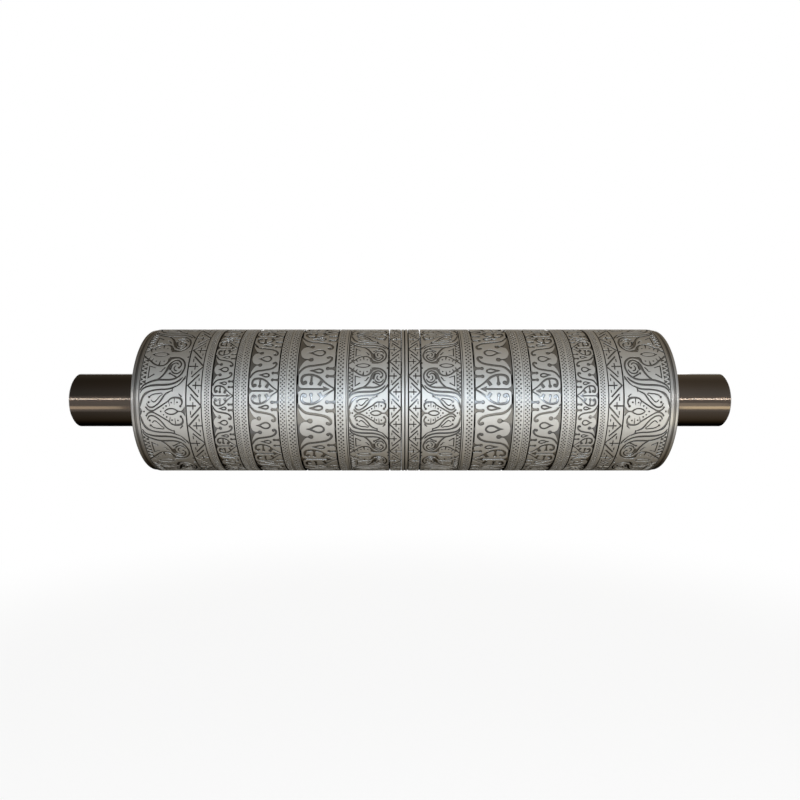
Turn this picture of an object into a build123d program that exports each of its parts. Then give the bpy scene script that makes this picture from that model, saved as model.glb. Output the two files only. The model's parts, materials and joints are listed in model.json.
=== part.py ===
from build123d import *
import os
from math import radians, sin, tan

# An engraved embossing roller: one steel bar, turned to a barrel with a plain journal at each end,
# and engraved all round the barrel. The axis runs along X, with the middle of the whole bar at the
# origin and the longer journal on the left. Lengths are in millimetres.
face_radius = 80.0
face_length = 560.0
journal_radius = 30.0
left_journal_length = 88.0
right_journal_length = 78.0
journal_chamfer = 1.0
centre_hole_radius = 6.0
centre_hole_angle = 60.0

# The turned margin at each end of the barrel, a little lower than the engraved land.
margin_width = 7.0
margin_drop = 1.0
margin_edge = 1.0

# The engraving. Places along the barrel are distances from the middle of the face, the same to the
# left and to the right.
engraving_depth = 0.8
ring_grooves = (16.4, 119.2, 167.2, 205.0)
ring_groove_width = 1.8
cutter_clearance = 1.0

# Mask bands: outer edge, inner edge, motifs in a turn, and the turn of the first one from the
# front of the roller, in degrees downwards.
mask_bands = (
    (109.2, 71.4, 6, -8.2),
    (158.8, 129.4, 7, -6.6),
    (196.0, 175.2, 9, -3.1),
)

# Scroll bands, in the same way. Each stripe's places round the barrel are degrees from its motif's
# middle line, seen square on.
scroll_bands = (
    (57.0, 17.6, 5, 9.6),
    (269.4, 224.6, 4, 8.4),
)
stripe_start = 9.0
stripe_end = 24.0
stripe_spread = 1.6

# The turn about the axis at which the front of the roller lies, the side towards the viewer.
front = 180.0

total_length = left_journal_length + face_length + right_journal_length
left_end = -total_length / 2
right_end = total_length / 2
face_left = left_end + left_journal_length
face_right = right_end - right_journal_length
face_middle = (face_left + face_right) / 2
margin_radius = face_radius - margin_drop
centre_hole_depth = centre_hole_radius / tan(radians(centre_hole_angle / 2))

# A motif is drawn flat on a plane along the axis, x along the barrel and y around it, pushed out
# through the land, and trimmed to the thickness of the engraving, so that its floor is round.
motif_plane = Plane(origin=(0, 0, 0), x_dir=(0, 0, 1), z_dir=(1, 0, 0))
face_plane = Plane(origin=(face_middle, 0, 0), x_dir=(0, 1, 0), z_dir=(1, 0, 0))


def around(x, degrees):
    """A place on the barrel as seen square on from the motif's own middle line."""
    return (x, face_radius * sin(radians(degrees)))


# The skin of the barrel that the engraving is cut in.
with BuildPart() as skin:
    with BuildSketch():
        Circle(face_radius + cutter_clearance)
        Circle(face_radius - engraving_depth, mode=Mode.SUBTRACT)
    extrude(amount=face_length / 2, both=True)


def arrow_cutter(outer, inner):
    """An arrow along the axis, from the band's outer edge towards the middle of the roller."""
    width = inner - outer
    shaft_half = 0.022 * abs(width)
    head_half = 0.085 * abs(width)
    head_start = outer + 0.66 * width
    head_tip = outer + 0.86 * width
    with BuildPart() as arrow:
        with BuildSketch(motif_plane):
            with BuildLine():
                Polyline(
                    (outer, 0),
                    (outer, shaft_half),
                    (head_start, shaft_half),
                    (head_start, head_half),
                    (head_tip, 0),
                )
                mirror(about=Plane.XZ)
            make_face()
        extrude(amount=face_radius + cutter_clearance)
        add(skin.part, mode=Mode.INTERSECT)
    return arrow.part


def drop_cutter(outer, inner):
    """A pointed drop along the axis, its point towards the band's outer edge."""
    width = inner - outer
    tip = outer + 0.25 * width
    base = outer + 0.70 * width
    half = 0.11 * abs(width)
    with BuildPart() as drop:
        with BuildSketch(motif_plane):
            with BuildLine():
                Polyline((tip, 0), (base, half), (base, -half), close=True)
            make_face()
        extrude(amount=face_radius + cutter_clearance)
        add(skin.part, mode=Mode.INTERSECT)
    return drop.part


def scroll_cutter(outer, inner):
    """A pair of slanting stripes that open and widen from the band's outer edge inwards."""
    width = inner - outer
    start = outer + 0.04 * width
    end = outer + 0.74 * width
    with BuildPart() as scroll:
        with BuildSketch(motif_plane):
            with BuildLine():
                Polyline(
                    around(start, stripe_start),
                    around(end, stripe_end - stripe_spread),
                    around(end, stripe_end + stripe_spread),
                    close=True,
                )
            make_face()
            mirror(about=Plane.XZ)
        extrude(amount=face_radius + cutter_clearance)
        add(skin.part, mode=Mode.INTERSECT)
    return scroll.part


def all_round(cutter, count, first):
    """The cutter at each of its places in a turn, on the right and on the left of the face."""
    pair = (cutter, cutter.mirror(Plane.XY))
    places = PolarLocations(0, count, start_angle=front + first)
    return [place * side for place in places for side in pair]


motifs = []
for outer, inner, count, first in mask_bands:
    motifs += all_round(arrow_cutter(outer, inner), count, first)
for outer, inner, count, first in mask_bands[:2]:
    motifs += all_round(drop_cutter(outer, inner), count, first + 180 / count)
for outer, inner, count, first in scroll_bands:
    motifs += all_round(scroll_cutter(outer, inner), count, first)

with BuildPart(face_plane) as engraved_roll:
    # The bar as it leaves the lathe, with a 60 degree centre hole in each end.
    with BuildSketch(Plane.XY):
        with BuildLine():
            Polyline(
                (left_end + centre_hole_depth, 0),
                (left_end, centre_hole_radius),
                (left_end, journal_radius - journal_chamfer),
                (left_end + journal_chamfer, journal_radius),
                (face_left, journal_radius),
                (face_left, margin_radius - margin_edge),
                (face_left + margin_edge, margin_radius),
                (face_left + margin_width, margin_radius),
                (face_left + margin_width + margin_drop, face_radius),
                (face_right - margin_width - margin_drop, face_radius),
                (face_right - margin_width, margin_radius),
                (face_right - margin_edge, margin_radius),
                (face_right, margin_radius - margin_edge),
                (face_right, journal_radius),
                (right_end - journal_chamfer, journal_radius),
                (right_end, journal_radius - journal_chamfer),
                (right_end, centre_hole_radius),
                (right_end - centre_hole_depth, 0),
                close=True,
            )
        make_face()
    revolve(axis=Axis.X)
    # The ring grooves that part the bands.
    ring_places = [face_middle + side * x for x in ring_grooves for side in (-1, 1)]
    with BuildSketch(Plane.XY):
        with Locations(*[(x, face_radius) for x in ring_places]):
            Polygon(
                (-ring_groove_width / 2, 0),
                (0, -engraving_depth),
                (ring_groove_width / 2, 0),
                align=None,
            )
    revolve(axis=Axis.X, mode=Mode.SUBTRACT)
    add(motifs, mode=Mode.SUBTRACT)

engraved_roll.part.label = "engraved_roll"
os.makedirs("parts", exist_ok=True)
export_step(engraved_roll.part, "parts/engraved_roll.step")
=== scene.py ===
"""Embossing roller: a solid steel roll, engraved all round its barrel, with a journal at each end."""

import math

import bmesh
import bpy
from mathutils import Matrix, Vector
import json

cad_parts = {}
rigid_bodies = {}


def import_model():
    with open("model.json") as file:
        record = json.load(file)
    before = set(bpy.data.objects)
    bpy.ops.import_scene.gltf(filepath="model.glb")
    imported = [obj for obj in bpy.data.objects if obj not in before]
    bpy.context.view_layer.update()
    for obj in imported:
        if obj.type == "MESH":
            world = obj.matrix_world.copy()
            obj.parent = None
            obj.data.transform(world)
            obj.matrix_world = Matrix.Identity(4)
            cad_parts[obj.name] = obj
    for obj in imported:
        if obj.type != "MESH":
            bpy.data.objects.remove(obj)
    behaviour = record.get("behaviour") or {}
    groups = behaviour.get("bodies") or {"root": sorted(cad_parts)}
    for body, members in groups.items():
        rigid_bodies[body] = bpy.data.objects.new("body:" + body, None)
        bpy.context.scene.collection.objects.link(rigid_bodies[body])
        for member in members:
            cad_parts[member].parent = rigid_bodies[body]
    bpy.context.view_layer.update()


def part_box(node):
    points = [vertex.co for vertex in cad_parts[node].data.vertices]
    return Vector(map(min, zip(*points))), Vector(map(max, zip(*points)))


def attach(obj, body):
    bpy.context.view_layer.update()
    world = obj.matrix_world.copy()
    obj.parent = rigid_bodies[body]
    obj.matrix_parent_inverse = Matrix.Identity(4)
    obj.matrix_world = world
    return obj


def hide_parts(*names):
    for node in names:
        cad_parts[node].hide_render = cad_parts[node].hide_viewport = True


# The set. The roller hangs level in front of the camera, as it is shown for sale, with a pale floor
# well below it, a white surround and soft lamps.
CAMERA_DISTANCE = 0.74
CAMERA_LENS = 29.2
WHITE = (1, 1, 1, 1)
SURROUND_COLOUR = (1, 0.98, 0.95, 1)
SURROUND_STRENGTH = 0.45


def placed(name, data):
    """A new object with its data, put into the scene."""
    made = bpy.data.objects.new(name, data)
    bpy.context.collection.objects.link(made)
    return made


def fill(tree, made, **inputs):
    """Fills a shader node's inputs. Each goes by its name, with _ for a space, or by i and its number, and
    is a value or another node's output."""
    for name, value in inputs.items():
        key = int(name[1:]) if name[0] == "i" and name[1:].isdigit() else name.replace("_", " ")
        if isinstance(value, bpy.types.NodeSocket):
            tree.links.new(value, made.inputs[key])
        else:
            made.inputs[key].default_value = value
    return made


def node(tree, kind, settings=(), **inputs):
    """Adds a shader node with its settings and fills its inputs."""
    made = tree.nodes.new("ShaderNode" + kind)
    for name, value in dict(settings).items():
        setattr(made, name, value)
    return fill(tree, made, **inputs)


def maths(tree, operation, *values):
    """What comes of values, or of other nodes' outputs, by an operation."""
    inputs = {f"i{k}": value for k, value in enumerate(values)}
    return node(tree, "Math", {"operation": operation}, **inputs).outputs[0]


def between(tree, value, low, high, start=0.0, end=1.0):
    """The value brought from one range to another, and held inside it."""
    settings = {"interpolation_type": "SMOOTHSTEP"}
    ends = {"From_Min": low, "From_Max": high, "To_Min": start, "To_Max": end}
    return node(tree, "MapRange", settings, Value=value, **ends).outputs[0]


def seen_directly(tree):
    """A value that is 1 for what the camera, a mirror or glass sees, and 0 for light on other things."""
    ray = node(tree, "LightPath").outputs
    seen = ray["Is Camera Ray"]
    for kind in ("Is Glossy Ray", "Is Transmission Ray"):
        seen = maths(tree, "MAXIMUM", seen, ray[kind])
    return seen


def new_material(name):
    """A new material, its node tree and its shader."""
    material = bpy.data.materials.new(name)
    material.use_nodes = True
    return material, material.node_tree, material.node_tree.nodes["Principled BSDF"]


camera = placed("camera", bpy.data.cameras.new("camera"))
camera.location = (0, -CAMERA_DISTANCE, 0)
camera.rotation_euler = (math.radians(90), 0, 0)
camera.data.lens = CAMERA_LENS
bpy.context.scene.camera = camera
bpy.context.scene.view_settings.view_transform = "Standard"

world = bpy.data.worlds.new("white_surround")
world.use_nodes = True
bpy.context.scene.world = world
air = world.node_tree
air.nodes.clear()
soft = node(air, "Background", Color=SURROUND_COLOUR, Strength=SURROUND_STRENGTH)
white = node(air, "Background", Color=WHITE, Strength=1)
either = node(air, "MixShader", i0=seen_directly(air), i1=soft.outputs[0], i2=white.outputs[0])
node(air, "OutputWorld", Surface=either.outputs[0])

# White paper lies under the roller. It keeps a soft shadow below it and fades into the white round that.
PAPER_SIZE = 14
PAPER_HEIGHT = -0.36
PAPER_COLOUR = (0.95, 0.95, 0.95, 1)
PAPER_ROUGHNESS = 0.9
SHADOW_REACH = 0.5
SHADOW_END = 1.1
WHITE_IN_SHADOW = 0.85
bpy.ops.mesh.primitive_plane_add(size=PAPER_SIZE, location=(0, 0, PAPER_HEIGHT))
floor = bpy.context.object
floor.name = "floor"
paper, tree, shader = new_material("white_paper")
fill(tree, shader, Base_Color=PAPER_COLOUR, Roughness=PAPER_ROUGHNESS)
distance = node(tree, "VectorMath", {"operation": "LENGTH"}, i0=node(tree, "TexCoord").outputs["Object"])
fade = between(tree, distance.outputs["Value"], SHADOW_REACH, SHADOW_END, WHITE_IN_SHADOW, 1.0)
share = maths(tree, "MULTIPLY", fade, seen_directly(tree))
plain = node(tree, "Emission", Color=WHITE, Strength=1)
lit = node(tree, "MixShader", i0=share, i1=shader.outputs[0], i2=plain.outputs[0])
fill(tree, tree.nodes["Material Output"], Surface=lit.outputs[0])
floor.data.materials.append(paper)

# Soft lamps look straight at the roller's axis. The front lamp and its tube make the long highlight, the
# side tubes light the journals, the low lamps give the warm sheen below, and the softboxes light the rest.
for lamp_name, place, size, power, colour in (
    ("front_lamp", (0.06, -0.86, 0.045), (0.7, 0.2), 2.4, (0.7, 0.85, 1.0)),
    ("front_tube", (-0.02, -0.84, 0.03), (0.82, 0.012), 0.8, (0.86, 0.93, 1.0)),
    ("low_lamp", (0.18, -0.55, -0.27), (0.96, 0.3), 1.15, (1.0, 0.94, 0.78)),
    ("left_tube", (-0.82, -0.86, 0.06), (0.36, 0.014), 0.75, (1.0, 0.99, 0.96)),
    ("right_tube", (0.82, -0.86, 0.06), (0.36, 0.014), 1.1, (1.0, 0.97, 0.92)),
    ("left_low_tube", (-0.64, -0.48, -0.31), (0.2, 0.12), 0.22, (1.0, 0.88, 0.66)),
    ("right_low_tube", (0.64, -0.48, -0.31), (0.2, 0.12), 0.32, (1.0, 0.9, 0.6)),
    ("top_softbox", (0, -1.3, 0.9), (2.2, 0.6), 1, (0.95, 0.98, 1.0)),
    ("back_softbox", (0.1, 1.25, 0.3), (1.6, 0.5), 3, (1.0, 0.98, 0.95)),
):
    lamp = placed(lamp_name, bpy.data.lights.new(lamp_name, "AREA"))
    lamp.data.shape = "RECTANGLE"
    lamp.data.size, lamp.data.size_y = size
    lamp.data.energy = power
    lamp.data.color = colour
    lamp.location = place
    lamp.rotation_euler = Vector((0, -place[1], -place[2])).to_track_quat("-Z", "Y").to_euler()

# Two brown cards arch over the roller and under it, out of the picture. Only polished metal shows them,
# as the darker tone that rounds off the top and the bottom of the barrel. Each is part of a round about
# the roller's axis, between two angles from the front, with its tones along that arc. Both fade sideways.
CARD_STEPS = 12
CARD_HALF_WIDTH = 2.5
CARD_FADE_REACH = 0.9
CARD_FADE = ((0, 0.25), (0.22, 0.4), (0.5, 1), (1, 0.7))


def grey(tone):
    """A tone without colour."""
    return (tone, tone, tone, 1)


def brown(tone):
    """A card's colour at a tone: nearly white where it is bright, and browner the darker it is."""
    return (tone, tone * (0.7 + 0.3 * tone), tone * (0.32 + 0.64 * tone), 1)


def toned(tree, share, tones, colour):
    """The colour of tones that each stand at a share from 0 to 1, and blend from one to the next."""
    made = node(tree, "ValToRGB", Fac=share)
    elements = made.color_ramp.elements
    while len(elements) < len(tones):
        elements.new(0.5)
    for element, (position, tone) in zip(elements, tones):
        element.position = position
        element.color = colour(tone)
    return made.outputs["Color"]


for card_name, reach, (first_angle, last_angle), tones in (
    ("card_above", 1.0, (14, 150),
     ((0, 1.2), (0.12, 1.1), (0.34, 0.78), (0.53, 0.56), (0.72, 0.48), (1, 0.26))),
    ("card_below", -0.33, (48, 162),
     ((0, 0.9), (0.22, 0.6), (0.39, 0.3), (0.5, 0.08), (0.67, 0), (1, 0))),
):
    arc_angle = last_angle - first_angle
    rows = [math.radians(first_angle + arc_angle * k / CARD_STEPS) for k in range(CARD_STEPS + 1)]
    sides = (-CARD_HALF_WIDTH, CARD_HALF_WIDTH)
    corners = [(x, -abs(reach) * math.cos(a), reach * math.sin(a)) for a in rows for x in sides]
    card_mesh = bpy.data.meshes.new(card_name)
    card_mesh.from_pydata(corners, [], [(2 * k, 2 * k + 1, 2 * k + 3, 2 * k + 2) for k in range(CARD_STEPS)])
    card = placed(card_name, card_mesh)
    card_paint, tree, _ = new_material(card_name)
    tree.nodes.clear()
    where = node(tree, "SeparateXYZ", i0=node(tree, "TexCoord").outputs["Object"]).outputs
    forward = maths(tree, "MULTIPLY", where["Y"], -1)
    angle = maths(tree, "ARCTAN2", maths(tree, "ABSOLUTE", where["Z"]), forward)
    along = node(tree, "MapRange", Value=angle, From_Min=rows[0], From_Max=rows[-1])
    across = node(tree, "MapRange", Value=where["X"], From_Min=-CARD_FADE_REACH, From_Max=CARD_FADE_REACH)
    glow = node(
        tree,
        "Emission",
        Color=toned(tree, along.outputs[0], tones, brown),
        Strength=toned(tree, across.outputs[0], CARD_FADE, grey),
    )
    node(tree, "OutputMaterial", Surface=glow.outputs[0])
    card.data.materials.append(card_paint)
    card.visible_camera = False
    card.visible_diffuse = False
    card.visible_shadow = False
    card.visible_transmission = False

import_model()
bpy.ops.object.select_all(action="DESELECT")

# The barrel's centre bands: a scroll band with five double scrolls to the turn and, inside it, a row of
# arrows. They are etched into the face with sloping walls. The engraving is drawn flat, in millimetres,
# x along the roll from its middle and y round it, and is then wrapped onto the barrel.
MILLIMETRES = 1000
LOW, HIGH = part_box("engraved_roll")
FACE_RADIUS = HIGH.z * MILLIMETRES
FACE_MIDDLE = 5.0
GIRTH = 2 * math.pi * FACE_RADIUS
ENGRAVING_DEPTH = 0.8
WALL_SLOPE = 1 / 1.5
SKIN_THICKNESS = 3.0
FACETS = 240
FACET_STEP = 2.0
SMOOTH_BELOW = math.radians(30)

# A cutter is drawn with its tool's rise above the face, and a dot's a little too deep. It is then trimmed
# to the engraving's depth and to its clearance above the face, over as many half repeats as it may reach.
TOOL_RISE = 0.5
DOT_DEPTH = ENGRAVING_DEPTH * 1.05
SMALLEST_DOT = 0.1
CLEARANCE = 0.2
TRIM_REACH = 6
SPARE_REPEATS = 3
RING_OVERRUN = 1.02
MERGE_DISTANCE = 0.0005
SEAM_GAP = 0.01
TOLERANCE = 0.001


def line(*points, half=0.7, closed=False, straight=False, once=False):
    """One engraved line. A point is its share of the band's width, its share of half a repeat and, where
    the line swells or tapers, its half width in millimetres."""
    return dict(kind="line", points=points, half=half, closed=closed, straight=straight, once=once, weight=1)


def dot(u, v, radius=0.9, once=False, sides=12):
    """One engraved dot, round or with the number of sides given."""
    return dict(kind="dot", points=((u, v),), half=radius, once=once, sides=sides, weight=1)


def field(*points, once=False):
    """One sunk field. Its outline is smooth, but for the corners, which are marked by a third value."""
    return dict(kind="field", points=points, once=once, weight=1)


def mirrored(*points, axis=0):
    """An outline's points followed by their mirror images, in turn, about the repeat's middle or its end."""
    return (*points, *((u, 2 * axis - v, *rest) for u, v, *rest in reversed(points) if v != axis))


def heavier(lines, weight):
    """The same lines, engraved so many times wider."""
    return [{**stroke, "weight": weight} for stroke in lines]


def graver():
    """The outline of the tool that cuts each line: a V that is one millimetre to each side at the face."""
    data = bpy.data.curves.new("graver", "CURVE")
    spline = data.splines.new("POLY")
    spline.points.add(2)
    top = 1 + TOOL_RISE * WALL_SLOPE
    for point, (x, y) in zip(spline.points, ((-top, TOOL_RISE), (0, -1 / WALL_SLOPE), (top, TOOL_RISE))):
        point.co = (x, y, 0, 1)
    spline.use_cyclic_u = True
    return placed("graver", data)


def only(piece):
    """Makes the piece the one selected and active object."""
    bpy.ops.object.select_all(action="DESELECT")
    piece.select_set(True)
    bpy.context.view_layer.objects.active = piece


def apply_place():
    """Moves the selected piece's place, turn and scale into its mesh."""
    bpy.ops.object.transform_apply(location=True, rotation=True, scale=True)


def apply_boolean(piece, other, operation, solver="MANIFOLD"):
    """Joins, cuts or trims the piece with the other one, and takes the other one away."""
    only(piece)
    modifier = piece.modifiers.new("cut", "BOOLEAN")
    modifier.object = other
    modifier.operation = operation
    modifier.solver = solver
    if solver == "EXACT":
        modifier.use_self = True
    bpy.ops.object.modifier_apply(modifier="cut")
    bpy.data.objects.remove(other)


def add_field(fields, stroke, places):
    """Draws a sunk field's outline among the others."""
    spline = fields.splines.new("BEZIER")
    spline.bezier_points.add(len(places) - 1)
    for point, (x, y), given in zip(spline.bezier_points, places, stroke["points"]):
        point.co = (x, y, 0)
        point.handle_left_type = point.handle_right_type = "VECTOR" if len(given) > 2 else "AUTO"
    spline.use_cyclic_u = True


def add_line(strokes, stroke, places):
    """Draws a line among the others, as wide at each point as is given there."""
    straight = stroke["straight"]
    spline = strokes.splines.new("POLY" if straight else "BEZIER")
    points = spline.points if straight else spline.bezier_points
    points.add(len(places) - 1)
    for point, (x, y), given in zip(points, places, stroke["points"]):
        point.co = (x, y, 0, 1) if straight else (x, y, 0)
        point.radius = (given[2] if len(given) > 2 else stroke["half"]) * stroke["weight"]
        if not straight:
            point.handle_left_type = point.handle_right_type = "AUTO"
    spline.use_cyclic_u = stroke["closed"]


def add_dot(name, stroke, place):
    """Adds a dot's cutter, a cone that narrows towards the engraving's floor."""
    radius = stroke["half"] * stroke["weight"]
    bpy.ops.mesh.primitive_cone_add(
        vertices=stroke["sides"],
        radius1=max(SMALLEST_DOT, radius - ENGRAVING_DEPTH * WALL_SLOPE),
        radius2=radius + TOOL_RISE * WALL_SLOPE,
        depth=DOT_DEPTH + TOOL_RISE,
        location=(*place, (TOOL_RISE - DOT_DEPTH) / 2),
    )
    bpy.context.object.name = name


def joined(name):
    """All the meshes of one name as a single piece, with doubled points merged and faces outwards."""
    bpy.ops.object.select_all(action="DESELECT")
    for part in bpy.data.objects:
        if part.name.split(".")[0] == name and part.type == "MESH":
            part.select_set(True)
            bpy.context.view_layer.objects.active = part
    if len(bpy.context.selected_objects) > 1:
        bpy.ops.object.join()
    piece = bpy.context.object
    only(piece)
    apply_place()
    bpy.ops.object.mode_set(mode="EDIT")
    bpy.ops.mesh.select_all(action="SELECT")
    bpy.ops.mesh.remove_doubles(threshold=MERGE_DISTANCE)
    bpy.ops.mesh.normals_make_consistent(inside=False)
    bpy.ops.object.mode_set(mode="OBJECT")
    return piece


def draw(name, lines, outer, inner, half_repeat, smoothness=3, solver="EXACT"):
    """The cutter for one repeat of a band between two places along the roll, both sides of its middle."""
    thickness = ENGRAVING_DEPTH + CLEARANCE
    strokes = bpy.data.curves.new(name, "CURVE")
    strokes.dimensions = "2D"
    strokes.bevel_mode = "OBJECT"
    strokes.bevel_object = graver()
    strokes.use_fill_caps = True
    strokes.resolution_u = smoothness
    fields = bpy.data.curves.new(name + "_fields", "CURVE")
    fields.dimensions = "2D"
    fields.fill_mode = "BOTH"
    fields.extrude = thickness
    fields.resolution_u = smoothness
    dots = []
    for stroke in lines:
        on_axis = all(point[1] == 0 for point in stroke["points"])
        for side in (1,) if on_axis or stroke["once"] else (1, -1):
            places = [(outer + p[0] * (inner - outer), side * p[1] * half_repeat) for p in stroke["points"]]
            if stroke["kind"] == "dot":
                dots.append((stroke, places[0]))
            elif stroke["kind"] == "field":
                add_field(fields, stroke, places)
            else:
                add_line(strokes, stroke, places)
    bpy.ops.object.select_all(action="DESELECT")
    for data in (fields, strokes):
        if data.splines:
            drawn = placed(name, data)
            drawn.select_set(True)
            bpy.context.view_layer.objects.active = drawn
    if fields.splines or strokes.splines:
        bpy.ops.object.convert(target="MESH")
    bpy.data.objects.remove(strokes.bevel_object)
    for stroke, place in dots:
        add_dot(name, stroke, place)
    cutter = joined(name)
    middle = ((outer + inner) / 2, 0, (CLEARANCE - ENGRAVING_DEPTH) / 2)
    bpy.ops.mesh.primitive_cube_add(size=1, location=middle)
    depth_block = bpy.context.object
    depth_block.scale = (inner - outer, half_repeat * TRIM_REACH, thickness)
    apply_place()
    apply_boolean(cutter, depth_block, "INTERSECT", solver)
    return cutter


def blank(outer, inner):
    """The flat skin of a band, from one place along the roll to the other, in facets round its girth."""
    bpy.ops.mesh.primitive_grid_add(
        x_subdivisions=1, y_subdivisions=FACETS, size=1, location=((outer + inner) / 2, 0, 0)
    )
    skin = bpy.context.object
    skin.scale = (inner - outer, GIRTH, 1)
    apply_place()
    thickness = skin.modifiers.new("skin", "SOLIDIFY")
    thickness.thickness = SKIN_THICKNESS
    thickness.offset = -1
    bpy.ops.object.modifier_apply(modifier="skin")
    return skin


def facet(cutter):
    """Cuts the long faces of a cutter across, so that they follow the barrel when they are wrapped."""
    only(cutter)
    places = [v.co.y for v in cutter.data.vertices]
    low, high = min(places), max(places)
    bpy.ops.object.mode_set(mode="EDIT")
    for k in range(1, math.ceil((high - low) / FACET_STEP)):
        bpy.ops.mesh.select_all(action="SELECT")
        bpy.ops.mesh.bisect(plane_co=(0, low + k * FACET_STEP, 0), plane_no=(0, 1, 0))
    bpy.ops.object.mode_set(mode="OBJECT")


def cut_all_round(skin, lines, outer, inner, count, first_degrees=0.0):
    """Cuts the lines of one repeat count times round the skin. Degrees are measured down from the front.
    Spare repeats run off both ends of the skin."""
    pitch = GIRTH / count
    cutter = draw("cutter", lines, outer, inner, pitch / 2)
    if pitch > 2 * FACET_STEP:
        facet(cutter)
    first = -math.radians(first_degrees) * FACE_RADIUS
    only(cutter)
    cutter.location.y = first - math.ceil((first + GIRTH / 2) / pitch + 1) * pitch
    apply_place()
    repeat = cutter.modifiers.new("repeat", "ARRAY")
    repeat.use_relative_offset = False
    repeat.use_constant_offset = True
    repeat.constant_offset_displace = (0, pitch, 0)
    repeat.count = count + SPARE_REPEATS
    bpy.ops.object.modifier_apply(modifier="repeat")
    apply_boolean(skin, cutter, "DIFFERENCE")


def cut_rings(skin, outer, inner, *rings):
    """Turns plain grooves into a skin: each is its place along the roll and its half width."""
    shares = [((x - outer) / (inner - outer), half) for x, half in rings]
    lines = [line((u, -RING_OVERRUN), (u, RING_OVERRUN), half=half, once=True) for u, half in shares]
    grooves = draw("rings", lines, outer, inner, GIRTH / 2, smoothness=FACETS, solver="MANIFOLD")
    apply_boolean(skin, grooves, "DIFFERENCE")


def select_open_edges(skin, place=None):
    """Selects the edges that only one face uses, all of them or those at one place along the roll."""
    bpy.ops.mesh.select_all(action="DESELECT")
    for edge in bmesh.from_edit_mesh(skin.data).edges:
        here = place is None or all(abs(v.co.x - place) < TOLERANCE for v in edge.verts)
        if edge.is_boundary and here:
            edge.select = True


def to_size(piece, name):
    """Brings a piece drawn in millimetres to size, shades its round faces smooth and names it."""
    piece.scale = [1 / MILLIMETRES] * 3
    apply_place()
    bpy.ops.object.shade_smooth_by_angle(angle=SMOOTH_BELOW)
    piece.name = name
    return piece


def wrap(skin, name):
    """Bends a flat skin round the barrel, joins its ends at the back and fills it to a solid slice."""
    only(skin)
    bpy.ops.object.mode_set(mode="EDIT")
    bpy.ops.mesh.select_mode(type="FACE")
    bpy.ops.mesh.select_all(action="DESELECT")
    bpy.ops.object.mode_set(mode="OBJECT")
    for face in skin.data.polygons:
        underneath = face.center.z < TOLERANCE - SKIN_THICKNESS
        at_the_seam = abs(face.center.y) > GIRTH / 2 - TOLERANCE
        face.select = underneath or at_the_seam
    bpy.ops.object.mode_set(mode="EDIT")
    bpy.ops.mesh.delete(type="FACE")
    bpy.ops.object.mode_set(mode="OBJECT")
    skin.rotation_euler.x = math.radians(90)
    apply_place()
    bend = skin.modifiers.new("bend", "SIMPLE_DEFORM")
    bend.deform_method = "BEND"
    bend.deform_axis = "X"
    bend.angle = 2 * math.pi
    bpy.ops.object.modifier_apply(modifier="bend")
    skin.location = (FACE_MIDDLE, -FACE_RADIUS, 0)
    apply_place()
    places = [v.co.x for v in skin.data.vertices]
    bpy.ops.object.mode_set(mode="EDIT")
    bpy.ops.mesh.select_mode(type="EDGE")
    select_open_edges(skin)
    bpy.ops.mesh.remove_doubles(threshold=SEAM_GAP)
    for end in (min(places), max(places)):
        select_open_edges(skin, end)
        bpy.ops.mesh.edge_face_add()
    bpy.ops.mesh.select_mode(type="FACE")
    bpy.ops.mesh.select_all(action="SELECT")
    bpy.ops.mesh.normals_make_consistent(inside=False)
    bpy.ops.object.mode_set(mode="OBJECT")
    return to_size(skin, name)


def finish_pair(left, material):
    """Gives a left-hand piece its finish, and makes the right-hand one, which is its mirror image."""
    left.data.materials.clear()
    left.data.materials.append(material)
    only(left)
    bpy.ops.object.duplicate()
    right = bpy.context.object
    right.name = left.name.replace("left", "right")
    bpy.ops.object.mode_set(mode="EDIT")
    bpy.ops.mesh.select_all(action="SELECT")
    middle = (FACE_MIDDLE / MILLIMETRES, 0, 0)
    bpy.ops.transform.resize(value=(-1, 1, 1), center_override=middle)
    bpy.ops.mesh.flip_normals()
    bpy.ops.object.mode_set(mode="OBJECT")
    for piece in (left, right):
        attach(piece, "root")
        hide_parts("engraved_roll")


def group_of(name, inputs, outputs):
    """An empty node group with value inputs and outputs, and its two end nodes."""
    tree = bpy.data.node_groups.new(name, "ShaderNodeTree")
    for label, value in inputs.items():
        tree.interface.new_socket(label, in_out="INPUT", socket_type="NodeSocketFloat").default_value = value
    for label in outputs:
        tree.interface.new_socket(label, in_out="OUTPUT", socket_type="NodeSocketFloat")
    return tree, tree.nodes.new("NodeGroupInput"), tree.nodes.new("NodeGroupOutput")


# Depth under the turned face, in millimetres, from the distance to the roller's axis.
depth_group, given, result = group_of("depth_below_face", {"Face Radius": FACE_RADIUS}, ["Depth"])
where = node(depth_group, "SeparateXYZ", i0=node(depth_group, "TexCoord").outputs["Object"]).outputs
squares = [maths(depth_group, "POWER", where[axis], 2) for axis in "YZ"]
radius = maths(depth_group, "SQRT", maths(depth_group, "ADD", *squares))
millimetres = maths(depth_group, "MULTIPLY", radius, MILLIMETRES)
fill(depth_group, result, Depth=maths(depth_group, "SUBTRACT", given.outputs["Face Radius"], millimetres))

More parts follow.
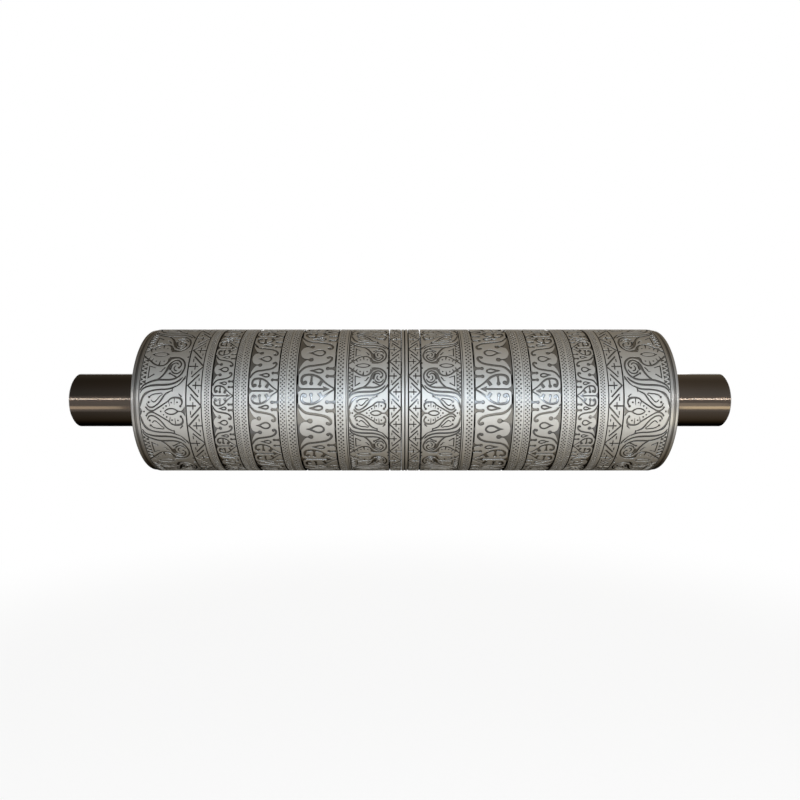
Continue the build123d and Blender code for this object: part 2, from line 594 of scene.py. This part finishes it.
# Marks of the turning tool and the polishing cloth, which run round the roller, and a slow cloudiness.
MARK_STRETCH = (1, 0.004, 0.004)
MARK_SCALE = 2600
CLOUD_SCALE = 14
marks_group, given, result = group_of("turning_marks", {"Fineness": 1}, ["Marks", "Clouds"])
place = node(marks_group, "TexCoord").outputs["Object"]
stretched = node(marks_group, "Mapping", Vector=place, Scale=MARK_STRETCH).outputs[0]
fine = maths(marks_group, "MULTIPLY", given.outputs["Fineness"], MARK_SCALE)
marks = node(marks_group, "TexNoise", Vector=stretched, Scale=fine, Detail=3, Roughness=0.6)
clouds = node(marks_group, "TexNoise", Vector=place, Scale=CLOUD_SCALE, Detail=4, Roughness=0.6)
fill(marks_group, result, Marks=marks.outputs["Fac"], Clouds=clouds.outputs["Fac"])


def grouped(tree, group, **inputs):
    """The outputs of a group placed in a material, with its own values."""
    return node(tree, "Group", {"node_tree": group}, **inputs).outputs


def blended(tree, share, first, second, kind="RGBA"):
    """A colour or value mixed from two by a share."""
    mix = node(tree, "Mix", {"data_type": kind}, Factor=share)
    ends = [k for k, socket in enumerate(mix.inputs) if socket.enabled][1:]
    fill(tree, mix, **{f"i{k}": value for k, value in zip(ends, (first, second))})
    return [socket for socket in mix.outputs if socket.enabled][0]


def ridged(tree, marks, strength, height):
    """The way the surface faces where marks stand on it as fine ridges, so many metres high."""
    return node(tree, "Bump", Strength=strength, Distance=height, Height=marks).outputs[0]


# The face is satin steel. Just below it the etched walls and floor are coloured dark: painted shade of the
# narrow grooves. The floor also has a gloss. Depths are in millimetres below the face.
LAND_COLOURS = ((0.385, 0.377, 0.364, 1), (0.455, 0.45, 0.442, 1))
# Painted shade: the dark colours that the etched walls and floor take in place of the shade inside the
# grooves.
ENGRAVING_SHADE_COLOURS = ((0.024, 0.021, 0.018, 1), (0.045, 0.04, 0.034, 1))
LAND_ROUGHNESS = (0.48, 0.56)
ETCHED_ROUGHNESS = 0.45
ENGRAVING_SHADE_DEPTHS = (0.08, 0.32)
GLOSSY_DEPTHS = (0.68, 0.785)
MARK_SPREAD = (0.2, 0.8)
steel, tree, shader = new_material("engraved_steel")
depth = grouped(tree, depth_group)["Depth"]
finish = grouped(tree, marks_group)
# Painted shade: the grooves turn dark over these depths and take the etched roughness.
etched_and_shaded = between(tree, depth, *ENGRAVING_SHADE_DEPTHS)
land_colour = blended(tree, finish["Clouds"], *LAND_COLOURS)
engraving_shade_colour = blended(tree, finish["Clouds"], *ENGRAVING_SHADE_COLOURS)
land_roughness = between(tree, finish["Marks"], *MARK_SPREAD, *LAND_ROUGHNESS)
fill(
    tree,
    shader,
    Base_Color=blended(tree, etched_and_shaded, land_colour, engraving_shade_colour),
    Metallic=1,
    Roughness=blended(tree, etched_and_shaded, land_roughness, ETCHED_ROUGHNESS, "FLOAT"),
    Normal=ridged(tree, finish["Marks"], 0.12, 0.00005),
    Coat_Weight=between(tree, depth, *GLOSSY_DEPTHS),
    Coat_IOR=2,
    Coat_Roughness=0.14,
)

ARROW_LINES = (
    line((0.25, 0.58), (1, 0), (0.25, -0.58), half=0.85, straight=True, once=True),
    line((0, 0), (0.64, 0), half=0.8, straight=True),
    line((0.42, 0.18), (0.42, -0.18), half=0.6, straight=True, once=True),
    line((0.24, 0.25), (0.24, 0.44), half=0.55, straight=True),
    line((0.79, 0.43), (0.05, 1), (0.79, 1.57), half=0.85, straight=True, once=True),
    line((1, 1), (0.35, 1), half=0.75, straight=True, once=True),
    line((0.58, 0.81), (0.58, 1.19), half=0.6, straight=True, once=True),
    line((0.8, 0.64), (0.8, 0.78), half=0.5, straight=True),
)

# The teeth of the zigzag beside each scroll, in shares of half a repeat.
TOOTH_START = 0.45
TOOTH_STEP = 0.077
TOOTH_SHIFT = 0.038
TEETH = 6
ZIGZAG = [round(TOOTH_START + TOOTH_STEP * k, 3) for k in range(TEETH)]

SCROLL_LINES = (
    line((0.545, 0, 0.5), (0.61, 0.035, 0.7), (0.69, 0.048, 0.7), (0.77, 0.036, 0.7), (0.84, 0, 0.9)),
    line((0.83, 0, 0.7), (0.91, 0, 0.7), (0.95, 0, 1.8), (0.98, 0, 3.8), (1.02, 0, 5.8), straight=True),
    line((-0.03, 0, 5), (0.02, 0, 3.2), (0.055, 0, 0.4), straight=True),
    dot(0.09, 0, 1),
    line((0.9, 0.085, 0.7), (0.94, 0.14, 0.8), (0.91, 0.205, 1.2), (0.83, 0.225, 1), (0.7, 0.215, 0.85),
         (0.63, 0.17), (0.51, 0.11, 0.75), (0.37, 0.045, 0.8), (0.27, 0.012, 0.9), (0.19, 0.025, 0.85),
         (0.125, 0.08, 0.9)),
    dot(0.9, 0.085, 1.3),
    dot(0.46, 0, 0.9),
    dot(0.52, 0.055, 0.75),
    dot(0.585, 0.09, 0.9),
    dot(0.7, 0.145, 0.9),
    dot(0.83, 0.15, 0.9),
    line((0.77, 0.215, 0.5), (0.765, 0.11, 0.3), straight=True),
    line((0.64, 0.17, 0.5), (0.665, 0.085, 0.3), straight=True),
    line((-0.02, 0.05, 1), (0.02, 0.13, 1), (0.06, 0.22, 1.1), (0.12, 0.285, 1.3), (0.23, 0.33, 0.9),
         (0.39, 0.355, 0.85), (0.62, 0.365, 0.85), (0.72, 0.385, 0.9), (0.8, 0.42, 0.5)),
    line((0.155, 0.135, 0.5), (0.18, 0.09, 0.75), (0.25, 0.067, 0.85), (0.35, 0.095, 0.85),
         (0.47, 0.18, 0.85), (0.57, 0.285, 0.85), (0.64, 0.315, 0.8), (0.71, 0.34, 0.4)),
    line((0.715, 0.32, 0.6), (0.72, 0.385, 0.8), straight=True),
    dot(0.2, 0.15, 1.2),
    dot(0.21, 0.235, 1.2),
    line((0.21, 0.235, 0.6), (0.27, 0.27, 0.6), (0.4, 0.29, 0.6), (0.5, 0.285, 0.5), (0.45, 0.25, 0.5),
         (0.38, 0.19, 0.6), (0.31, 0.155, 0.6), (0.25, 0.19, 0.5)),
    line((0.86, 0.29, 0.4), (0.93, 0.235, 0.9), straight=True),
    line((0.78, 0.4, 0.4), (0.86, 0.44, 0.6), (0.93, 0.5, 0.75), (1.01, 0.58, 1.3)),
    line((0.01, 0.3, 0.5), (0.06, 0.365, 0.8), (0.17, 0.41, 1), (0.336, 0.43, 1.1), (0.53, 0.435, 1.1),
         (0.69, 0.45, 1.05), (0.81, 0.485, 1), (0.89, 0.53, 0.9), (0.93, 0.57, 0.5)),
    line((0.005, 0.345, 0.5), (0.04, 0.4, 0.8), (0.118, 0.45, 1), (0.233, 0.49, 1.05), (0.36, 0.517, 1.05),
         (0.53, 0.52, 1.05), (0.683, 0.525, 1), (0.786, 0.55, 1), (0.876, 0.605, 1), (0.928, 0.68, 0.95),
         (0.95, 0.75, 0.9), (0.927, 0.83, 0.95), (0.85, 0.898, 1), (0.76, 0.928, 1.1), (0.66, 0.925, 1.6),
         (0.58, 0.91, 2.1)),
    line((0.36, 0.517, 0.8), (0.43, 0.555, 1), (0.5, 0.615, 1), (0.555, 0.685, 1.2), (0.59, 0.75, 1.6),
         (0.62, 0.81, 1.3), (0.665, 0.85, 1), (0.75, 0.877, 0.95), (0.825, 0.845, 0.9), (0.865, 0.785, 0.8),
         (0.825, 0.735, 0.9)),
    line((0.585, 0.75, 1.6), (0.64, 0.685, 0.5), straight=True),
    dot(0.82, 0.735, 1.3),
    line((0.8, 0.56, 0.85), (0.73, 0.59, 0.75), (0.63, 0.63, 0.75)),
    dot(0.63, 0.63, 1.2),
    line((0.645, 0.7, 0.5), (0.65, 0.76, 0.8), (0.69, 0.812, 0.85), (0.76, 0.82, 0.8), (0.8, 0.79, 0.5)),
    line((0.66, 0.69, 0.5), (0.69, 0.65, 0.8), (0.76, 0.628, 0.8), (0.84, 0.645, 0.8), (0.885, 0.7, 0.5)),
    line((0.745, 0.775, 0.5), (0.715, 0.735, 0.7), (0.73, 0.69, 0.7), (0.785, 0.675, 0.6)),
    line((-0.01, 0.96, 0.9), (0.06, 0.915, 0.9), (0.15, 0.865, 0.9), (0.27, 0.795, 0.9), (0.4, 0.77, 0.9),
         (0.5, 0.795, 1), (0.56, 0.85, 1.2), (0.585, 0.91, 1.8)),
    line((0.1, 0.905, 0.7), (0.135, 0.955, 0.4), straight=True),
    line((0.18, 0.87, 0.7), (0.21, 0.915, 0.4), straight=True),
    dot(0.28, 0.86, 0.9),
    dot(0.46, 0.86, 0.9),
    line((0.36, 0.78, 1.1), (0.365, 0.82, 0.7), (0.375, 0.87, 0.3), straight=True),
    line((0.2, 1, 0.6), (0.3, 0.962, 0.6), (0.42, 0.962, 0.6), (0.51, 1, 0.6), (0.42, 1.038, 0.6),
         (0.3, 1.038, 0.6), closed=True, once=True),
    dot(0.185, 1, 1.1, once=True),
    dot(0.515, 1, 1.2, once=True),
    line((0.3, 0.73, 0.4), (0.16, 0.765, 0.6), (0.16, 0.555, 0.6), (0.29, 0.62, 0.8), straight=True),
    line((0.51, 0.74, 0.8), (0.465, 0.7, 0.7), (0.43, 0.665, 0.5), (0.39, 0.665, 0.3)),
    line((1.03, 0.945, 2.6), (0.96, 0.935, 0.4), straight=True),
    *(line((-0.02, v, 2), (0.06, v, 0.2), straight=True) for v in ZIGZAG),
    *(line((0.115, v + TOOTH_SHIFT, 1.9), (0.03, v + TOOTH_SHIFT, 0.2), straight=True) for v in ZIGZAG),
)
MIDDLE = 0.0
CENTRE_EDGE = -62.3
skin = blank(CENTRE_EDGE, MIDDLE)
cut_all_round(skin, ARROW_LINES, -16.4, -3.7, count=15, first_degrees=6.1)
cut_all_round(skin, heavier(SCROLL_LINES, 1.05), -57.2, -17.2, count=5, first_degrees=9.6)
cut_rings(skin, CENTRE_EDGE, MIDDLE, (-0.2, 0.5), (-3.7, 0.75), (-16.5, 0.95), (-58, 0.6), (-60, 0.4))
finish_pair(wrap(skin, "centre_scrolls_left"), steel)

# The large mask bands, one on each side of the centre bands. Six masks of curled leaves stand to the turn
# and look towards the middle, with a border of diamond pits on either side, etched in the same steel bar.
LATTICE_PITS = (
    dot(0.5, 0, 1.4, sides=4),
    dot(0.13, 1, 1.4, once=True, sides=4),
    dot(0.87, 1, 1.4, once=True, sides=4),
)
MASK_LINES = (
    field(*mirrored((-0.04, 0.15, 0), (0.02, 0.115), (0.06, 0.062), (0.13, 0.018, 0)), once=True),
    line((0.1, 0, 0.85), (0.7, 0, 0.85), straight=True),
    field((0.67, 0.08, 0), (0.87, 0, 0), (0.67, -0.08, 0), (0.7, 0, 0), once=True),
    line((0.212, 0.16, 1), (0.17, 0.128, 1.1), (0.128, 0.175, 1.15), (0.118, 0.235, 1.15),
         (0.135, 0.295, 1.15), (0.178, 0.337, 1.15), (0.25, 0.358, 1.1), (0.36, 0.362, 1.05),
         (0.46, 0.343, 1), (0.545, 0.308, 1), (0.615, 0.26, 0.95), (0.69, 0.196, 0.85),
         (0.81, 0.106, 0.75), (0.98, 0.006, 0.7)),
    dot(0.212, 0.163, 1.75),
    field((0.27, 0.365, 0), (0.345, 0.325), (0.37, 0.27), (0.378, 0.2), (0.398, 0.27), (0.425, 0.32),
          (0.52, 0.335, 0)),
    line((0.38, 0.3, 0.8), (0.37, 0.15, 1), straight=True),
    dot(0.37, 0.14, 1.7),
    field((0.55, 0.31, 0), (0.61, 0.22), (0.63, 0.16, 0), (0.68, 0.16), (0.76, 0.14, 0), (0.66, 0.23, 0)),
    line((0.665, 0.22, 1.4), (0.57, 0.088, 1.6), straight=True),
    line((0.43, 0.467), (0.5, 0.428), (0.6, 0.412), (0.665, 0.455), (0.6, 0.508), (0.5, 0.503),
         half=0.8, closed=True),
    line((0.31, 0.47, 0.25), (0.37, 0.47, 0.9), (0.45, 0.468, 1.3), straight=True),
    line((-0.02, 0.36, 0.9), (0.025, 0.385, 0.9), (0.065, 0.44, 0.95), (0.125, 0.51, 1), (0.205, 0.566, 1.05),
         (0.31, 0.598, 1.05), (0.42, 0.61, 1.05), (0.55, 0.63, 1.05), (0.68, 0.653, 1.05), (0.78, 0.69, 1.05),
         (0.85, 0.742, 1.05), (0.885, 0.805, 1.05), (0.865, 0.86, 1), (0.82, 0.875, 1), (0.79, 0.85, 1)),
    dot(0.79, 0.85, 1.5),
    field(*mirrored((-0.04, 0.36, 0), (0.005, 0.37, 0), (0.035, 0.45), (0.055, 0.54), (0.095, 0.625),
                    (0.145, 0.7), (0.2, 0.752), (0.27, 0.772, 0), (0.27, 0.8, 0), (0.19, 0.808),
                    (0.12, 0.835), (0.08, 0.885), (0.058, 0.94), (0.05, 1), axis=1), once=True),
    line((0.25, 0.786, 0.9), (0.335, 0.786, 1), straight=True),
    dot(0.335, 0.786, 2.1),
    line((0.335, 1, 0.9), (0.39, 0.965, 0.9), (0.47, 0.925, 0.85), (0.57, 0.91, 0.85), (0.645, 0.935, 0.85),
         (0.69, 1, 0.85), (0.645, 1.065, 0.85), (0.57, 1.09, 0.85), (0.47, 1.075, 0.85), (0.39, 1.035, 0.9),
         closed=True, once=True),
    line((0.22, 1, 0.25), (0.3, 1, 0.9), (0.36, 1, 1.4), straight=True, once=True),
    line((1.01, 0.53, 3.4), (0.965, 0.53, 2.2), (0.92, 0.53, 1.2), (0.8, 0.53, 1), straight=True),
    dot(0.79, 0.53, 1.6),
    line((1.01, 0.325, 2.6), (0.965, 0.322, 1.6), (0.92, 0.32, 1), (0.79, 0.322, 0.95), straight=True),
    dot(0.785, 0.322, 1.6),
    line((1.03, 1, 3.5), (0.965, 1, 1.1), straight=True, once=True),
)
LARGE_EDGE = -119.9
skin = blank(LARGE_EDGE, CENTRE_EDGE)
cut_all_round(skin, LATTICE_PITS, -69, -62.8, count=108)
cut_all_round(skin, heavier(MASK_LINES, 1.3), -110, -71, count=6, first_degrees=-8)
cut_all_round(skin, LATTICE_PITS, -119.2, -113, count=107)
cut_rings(skin, LARGE_EDGE, CENTRE_EDGE, (-71.3, 0.95), (-109.7, 1.3), (-112.3, 0.3))
finish_pair(wrap(skin, "large_masks_left"), steel)

# The medium mask bands, next to the large ones on the outer side. They are etched in the same steel, with
# the same masks at a smaller size, seven to the turn, between finer borders of pits.
MEDIUM_EDGE = -167.2
skin = blank(MEDIUM_EDGE, LARGE_EDGE)
cut_all_round(skin, heavier(LATTICE_PITS, 0.85), -127.5, -122.3, count=127)
cut_all_round(skin, heavier(MASK_LINES, 1.1), -159.2, -128.8, count=7, first_degrees=-6.6)
cut_all_round(skin, heavier(LATTICE_PITS, 0.82), -166.8, -161.8, count=127)
cut_rings(skin, MEDIUM_EDGE, LARGE_EDGE, (-121.2, 0.3), (-129.1, 0.85), (-159.4, 0.95))
finish_pair(wrap(skin, "medium_masks_left"), steel)

# The small mask bands, outside the medium ones. Nine small masks to the turn stand between two borders of
# the finest pits, etched in the same steel.
SMALL_EDGE = -206.2
skin = blank(SMALL_EDGE, MEDIUM_EDGE)
cut_all_round(skin, heavier(LATTICE_PITS, 0.7), -173.2, -168.6, count=162)
cut_all_round(skin, heavier(MASK_LINES, 0.9), -196.4, -174.8, count=9, first_degrees=-3.1)
cut_all_round(skin, heavier(LATTICE_PITS, 0.7), -204.2, -199.4, count=162)
cut_rings(skin, SMALL_EDGE, MEDIUM_EDGE, (-174.7, 0.75), (-197, 0.85))
finish_pair(wrap(skin, "small_masks_left"), steel)

# The end scroll bands, etched like the rest. The arrows and scrolls of the middle come back at a larger
# size, twelve and four to the turn, and the ornament ends there, on the barrel's outer rings.
END_EDGE = -271.4
skin = blank(END_EDGE, SMALL_EDGE)
cut_all_round(skin, heavier(ARROW_LINES, 1.1), -222, -207.2, count=12, first_degrees=4.3)
cut_all_round(skin, heavier(SCROLL_LINES, 1.1), -269.9, -224, count=4, first_degrees=8.4)
cut_rings(skin, END_EDGE, SMALL_EDGE, (-207.4, 0.6), (-222.9, 0.75), (-270.7, 0.55))
finish_pair(wrap(skin, "end_scrolls_left"), steel)

# The barrel's plain ends. Outside the ornament a narrow margin is turned down one millimetre and polished,
# its edge is rounded, and the end face is faced off flat round the journal.
FACE_LENGTH = 560
BARREL_END = FACE_MIDDLE - FACE_LENGTH / 2
JOURNAL_RADIUS = 30
ROOT_FILLET = 1.5
MARGIN_DROP = 1.0
LIP_ROUNDING = 1.4
AXIS_RADIUS = 0.01

# The groove inside the margin: its walls and floor, in millimetres from the barrel's end.
GROOVE_DROP = 1.8
GROOVE_START, FLOOR_START, FLOOR_END, GROOVE_END = 6.4, 5.8, 3.7, 3.0


def arc(x, radius, size, start, end, steps=4):
    """Stations along a quarter round about a point: angles in degrees from +x, towards the outside."""
    angles = [math.radians(start + (end - start) * k / steps) for k in range(steps + 1)]
    return [(x + size * math.cos(a), radius + size * math.sin(a)) for a in angles]


def turn(name, stations):
    """A solid turned on the roller's axis through stations, each a place along it and a radius. A profile
    that runs in to the axis stops just short of it."""
    (x, radius), *rest = stations
    bpy.ops.mesh.primitive_circle_add(
        vertices=FACETS, radius=radius, location=(x, 0, 0), rotation=(0, math.radians(90), 0)
    )
    turned = bpy.context.object
    apply_place()
    bpy.ops.object.mode_set(mode="EDIT")
    bpy.ops.mesh.select_mode(type="EDGE")
    bpy.ops.mesh.select_all(action="SELECT")
    bpy.ops.mesh.edge_face_add()
    bpy.ops.mesh.select_mode(type="EDGE")
    for next_x, next_radius in rest:
        bpy.ops.mesh.extrude_edges_move(TRANSFORM_OT_translate={"value": (next_x - x, 0, 0)})
        if next_radius != radius:
            share = max(next_radius, AXIS_RADIUS) / radius
            bpy.ops.transform.resize(value=(1, share, share), center_override=(next_x, 0, 0))
        x, radius = next_x, max(next_radius, AXIS_RADIUS)
    bpy.ops.mesh.edge_face_add()
    bpy.ops.mesh.select_mode(type="FACE")
    bpy.ops.mesh.select_all(action="SELECT")
    bpy.ops.mesh.normals_make_consistent(inside=False)
    bpy.ops.object.mode_set(mode="OBJECT")
    return to_size(turned, name)


# Painted shade: the margin's steel is coloured darker than the face, in place of the light falling off
# towards the ends.
MARGIN_STEEL_AND_SHADE = ((0.26, 0.252, 0.244, 1), (0.33, 0.325, 0.318, 1))
# Painted shade: the groove inside the margin is coloured darker, from the first of these depths to the
# second.
MARGIN_GROOVE_SHADE = (0.13, 0.125, 0.12, 1)
MARGIN_ROUGHNESS = (0.26, 0.36)
MARGIN_GROOVE_SHADE_DEPTHS = (1.1, 1.7)
bright, tree, shader = new_material("polished_margin")
finish = grouped(tree, marks_group, Fineness=0.6)
groove_shade = between(tree, grouped(tree, depth_group)["Depth"], *MARGIN_GROOVE_SHADE_DEPTHS)
margin_steel_and_shade = blended(tree, finish["Clouds"], *MARGIN_STEEL_AND_SHADE)
fill(
    tree,
    shader,
    Base_Color=blended(tree, groove_shade, margin_steel_and_shade, MARGIN_GROOVE_SHADE),
    Metallic=1,
    Roughness=between(tree, finish["Marks"], *MARK_SPREAD, *MARGIN_ROUGHNESS),
    Normal=ridged(tree, finish["Marks"], 0.1, 0.00008),
)

margin_radius = FACE_RADIUS - MARGIN_DROP
end_profile = [
    (FACE_MIDDLE + END_EDGE, FACE_RADIUS),
    (BARREL_END + GROOVE_START, FACE_RADIUS),
    (BARREL_END + FLOOR_START, FACE_RADIUS - GROOVE_DROP),
    (BARREL_END + FLOOR_END, FACE_RADIUS - GROOVE_DROP),
    (BARREL_END + GROOVE_END, margin_radius),
    (BARREL_END + LIP_ROUNDING, margin_radius),
    *arc(BARREL_END + LIP_ROUNDING, margin_radius - LIP_ROUNDING, LIP_ROUNDING, 90, 180),
    (BARREL_END, JOURNAL_RADIUS + ROOT_FILLET),
]
finish_pair(turn("barrel_end_left", end_profile), bright)

# The journals are turned with the barrel from one bar and ground smooth for the bearings. They are coloured
# a dark brown, a painted reflection of dark surroundings in the ground steel. The left one is ten millimetres
# longer.
LEFT_SHAFT_END = LOW.x * MILLIMETRES
RIGHT_SHAFT_END = HIGH.x * MILLIMETRES
RIGHT_BARREL_END = 2 * FACE_MIDDLE - BARREL_END
CHAMFER = 1.0
CENTRE_HOLE_RADIUS = 6
CENTRE_HOLE_ANGLE = 60
CENTRE_HOLE_DEPTH = CENTRE_HOLE_RADIUS / math.tan(math.radians(CENTRE_HOLE_ANGLE / 2))
JOURNAL_STEPS = 12
# Painted reflection: these dark browns stand in for the dark surroundings that the ground journals mirror.
JOURNAL_REFLECTION_BROWNS = ((0.048, 0.034, 0.024, 1), (0.062, 0.046, 0.034, 1))
JOURNAL_ROUGHNESS = (0.13, 0.16)
journal_reflection_paint, tree, shader = new_material("ground_journal")
finish = grouped(tree, marks_group, Fineness=0.8)
fill(
    tree,
    shader,
    Base_Color=blended(tree, finish["Clouds"], *JOURNAL_REFLECTION_BROWNS),
    Metallic=1,
    Roughness=between(tree, finish["Marks"], *MARK_SPREAD, *JOURNAL_ROUGHNESS),
    Normal=ridged(tree, finish["Marks"], 0.015, 0.00005),
    Coat_Weight=0.6,
    Coat_Roughness=0.06,
)

for name, root, end in (
    ("journal_left", BARREL_END, LEFT_SHAFT_END),
    ("journal_right", RIGHT_BARREL_END, RIGHT_SHAFT_END),
):
    out = 1 if end > root else -1
    fillet = arc(ROOT_FILLET, JOURNAL_RADIUS + ROOT_FILLET, ROOT_FILLET, 180, 270)
    seat_start = root + out * ROOT_FILLET
    seat_step = (end - out * CHAMFER - seat_start) / JOURNAL_STEPS
    journal_profile = [
        *((root + out * x, radius) for x, radius in fillet),
        *((seat_start + seat_step * k, JOURNAL_RADIUS) for k in range(1, JOURNAL_STEPS + 1)),
        (end, JOURNAL_RADIUS - CHAMFER),
        (end, CENTRE_HOLE_RADIUS),
        (end - out * CENTRE_HOLE_DEPTH, 0),
    ]
    journal = turn(name, journal_profile)
    journal.data.materials.append(journal_reflection_paint)
    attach(journal, "root")
    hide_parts("engraved_roll")
